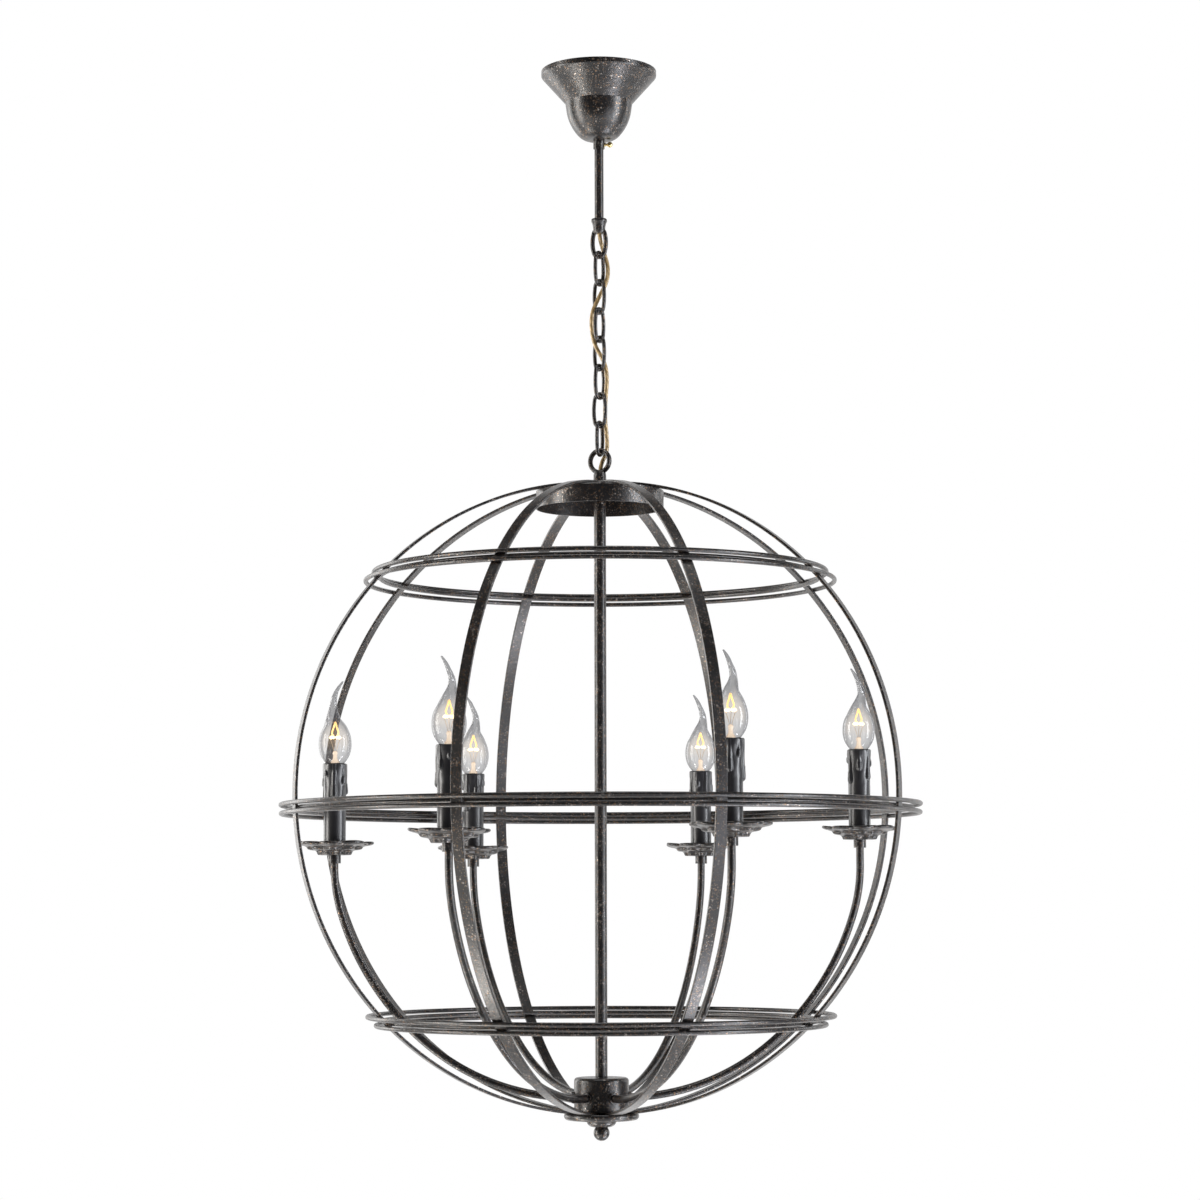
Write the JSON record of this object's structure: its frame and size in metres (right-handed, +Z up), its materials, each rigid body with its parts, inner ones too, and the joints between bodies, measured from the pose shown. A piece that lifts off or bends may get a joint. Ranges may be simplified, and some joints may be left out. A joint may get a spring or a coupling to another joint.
{
  "type": "orb chandelier",
  "caption": "Open orb of flat iron ribs and rod hoops with a ring of candle lights inside, hung by a chain and stem from a ceiling canopy.",
  "frame": {"origin": "on the ceiling, in the middle of the bracket's screw pattern, on its top face", "axes": "+Z up along the stem; the light hangs below the origin; +X along the bracket and its two screw slots; the picture looks along +Y"},
  "size_m": [0.6845, 0.6846, 1.1546],
  "materials": {
    "black_iron": "hammered powder coat with fine bronze and silver speckle",
    "zinc_steel": "zinc plated",
    "brass": "polished",
    "white_plastic": "moulded",
    "black_plastic": "moulded",
    "black_wax": "satin black, moulded as dripping wax",
    "bulb_glass": "clear",
    "gold_cord": "clear skin over twisted gold strands"
  },
  "bodies": {
    "hanger": {"ceiling_bracket": "zinc_steel", "bracket_nipple": "zinc_steel", "bracket_nuts": "zinc_steel", "terminal_block": "white_plastic", "stem": "black_iron", "stem_loop": "black_iron", "supply_cord": "gold_cord"},
    "canopy": {"canopy": "black_iron"},
    "thumb_screw": {"thumb_screw": "brass"},
    "link_1": {"link_1": "black_iron"},
    "link_2": {"link_2": "black_iron"},
    "link_3": {"link_3": "black_iron"},
    "link_4": {"link_4": "black_iron", "lamp_cord": "gold_cord"},
    "link_5": {"link_5": "black_iron"},
    "link_6": {"link_6": "black_iron"},
    "link_7": {"link_7": "black_iron"},
    "orb": {"arm_1": "black_iron", "arm_2": "black_iron", "arm_3": "black_iron", "arm_4": "black_iron", "arm_5": "black_iron", "arm_6": "black_iron", "arm_nuts": "black_iron", "bottom_dish": "black_iron", "centre_tube": "black_iron", "drip_trays": "black_iron", "finial": "black_iron", "finial_cup": "black_iron", "hanging_loop": "black_iron", "hub": "black_iron", "hub_cord": "gold_cord", "hub_lid": "black_iron", "lamp_pipe": "zinc_steel", "lampholders": "black_plastic", "lower_hoop": "black_iron", "middle_hoop": "black_iron", "rib_1": "black_iron", "rib_2": "black_iron", "rib_3": "black_iron", "rib_4": "black_iron", "rib_5": "black_iron", "rib_6": "black_iron", "rib_7": "black_iron", "rib_8": "black_iron", "sleeve_1": "black_wax", "sleeve_2": "black_wax", "sleeve_3": "black_wax", "sleeve_4": "black_wax", "sleeve_5": "black_wax", "sleeve_6": "black_wax", "top_pan": "black_iron", "upper_hoop": "black_iron"},
    "bulb_1": {"bulb_1": "bulb_glass"},
    "bulb_2": {"bulb_2": "bulb_glass"},
    "bulb_3": {"bulb_3": "bulb_glass"},
    "bulb_4": {"bulb_4": "bulb_glass"},
    "bulb_5": {"bulb_5": "bulb_glass"},
    "bulb_6": {"bulb_6": "bulb_glass"}
  },
  "joints": [
    {"name": "canopy_slide", "type": "slide", "parent": "hanger", "child": "canopy", "axis": [0, 0, 1], "range_m": [-0.075, 0]},
    {"name": "thumb_screw_turn", "type": "hinge", "parent": "canopy", "child": "thumb_screw", "pos_m": [0.0119, 0, -0.081], "axis": [1, 0, 0], "range_deg": [0, 720]},
    {"name": "link_1_swing", "type": "hinge", "parent": "hanger", "child": "link_1", "pos_m": [0, 0, -0.20545], "axis": [0.9511, -0.309, 0], "range_deg": [-12, 12]},
    {"name": "link_2_swing", "type": "hinge", "parent": "link_1", "child": "link_2", "pos_m": [0, 0, -0.2362], "axis": [0.5446, 0.8387, 0], "range_deg": [-12, 12]},
    {"name": "link_3_swing", "type": "hinge", "parent": "link_2", "child": "link_3", "pos_m": [0, 0, -0.2673], "axis": [0.6691, -0.7431, 0], "range_deg": [-12, 12]},
    {"name": "link_4_swing", "type": "hinge", "parent": "link_3", "child": "link_4", "pos_m": [0, 0, -0.2984], "axis": [0.5592, 0.829, 0], "range_deg": [-12, 12], "deforming": ["lamp_cord"]},
    {"name": "link_5_swing", "type": "hinge", "parent": "link_4", "child": "link_5", "pos_m": [0, 0, -0.3295], "axis": [0.6561, -0.7547, 0], "range_deg": [-12, 12]},
    {"name": "link_6_swing", "type": "hinge", "parent": "link_5", "child": "link_6", "pos_m": [0, 0, -0.3606], "axis": [0.5736, 0.8192, 0], "range_deg": [-12, 12]},
    {"name": "link_7_swing", "type": "hinge", "parent": "link_6", "child": "link_7", "pos_m": [0, 0, -0.3917], "axis": [0.788, -0.6157, 0], "range_deg": [-12, 12]},
    {"name": "orb_swing", "type": "hinge", "parent": "link_7", "child": "orb", "pos_m": [0, 0, -0.4228], "axis": [0.3746, 0.9272, 0], "range_deg": [-12, 12]},
    {"name": "bulb_1_out", "type": "slide", "parent": "orb", "child": "bulb_1", "axis": [0, 0, 1], "range_m": [0, 0.028]},
    {"name": "bulb_2_out", "type": "slide", "parent": "orb", "child": "bulb_2", "axis": [0, 0, 1], "range_m": [0, 0.028]},
    {"name": "bulb_3_out", "type": "slide", "parent": "orb", "child": "bulb_3", "axis": [0, 0, 1], "range_m": [0, 0.028]},
    {"name": "bulb_4_out", "type": "slide", "parent": "orb", "child": "bulb_4", "axis": [0, 0, 1], "range_m": [0, 0.028]},
    {"name": "bulb_5_out", "type": "slide", "parent": "orb", "child": "bulb_5", "axis": [0, 0, 1], "range_m": [0, 0.028]},
    {"name": "bulb_6_out", "type": "slide", "parent": "orb", "child": "bulb_6", "axis": [0, 0, 1], "range_m": [0, 0.028]}
  ]
}
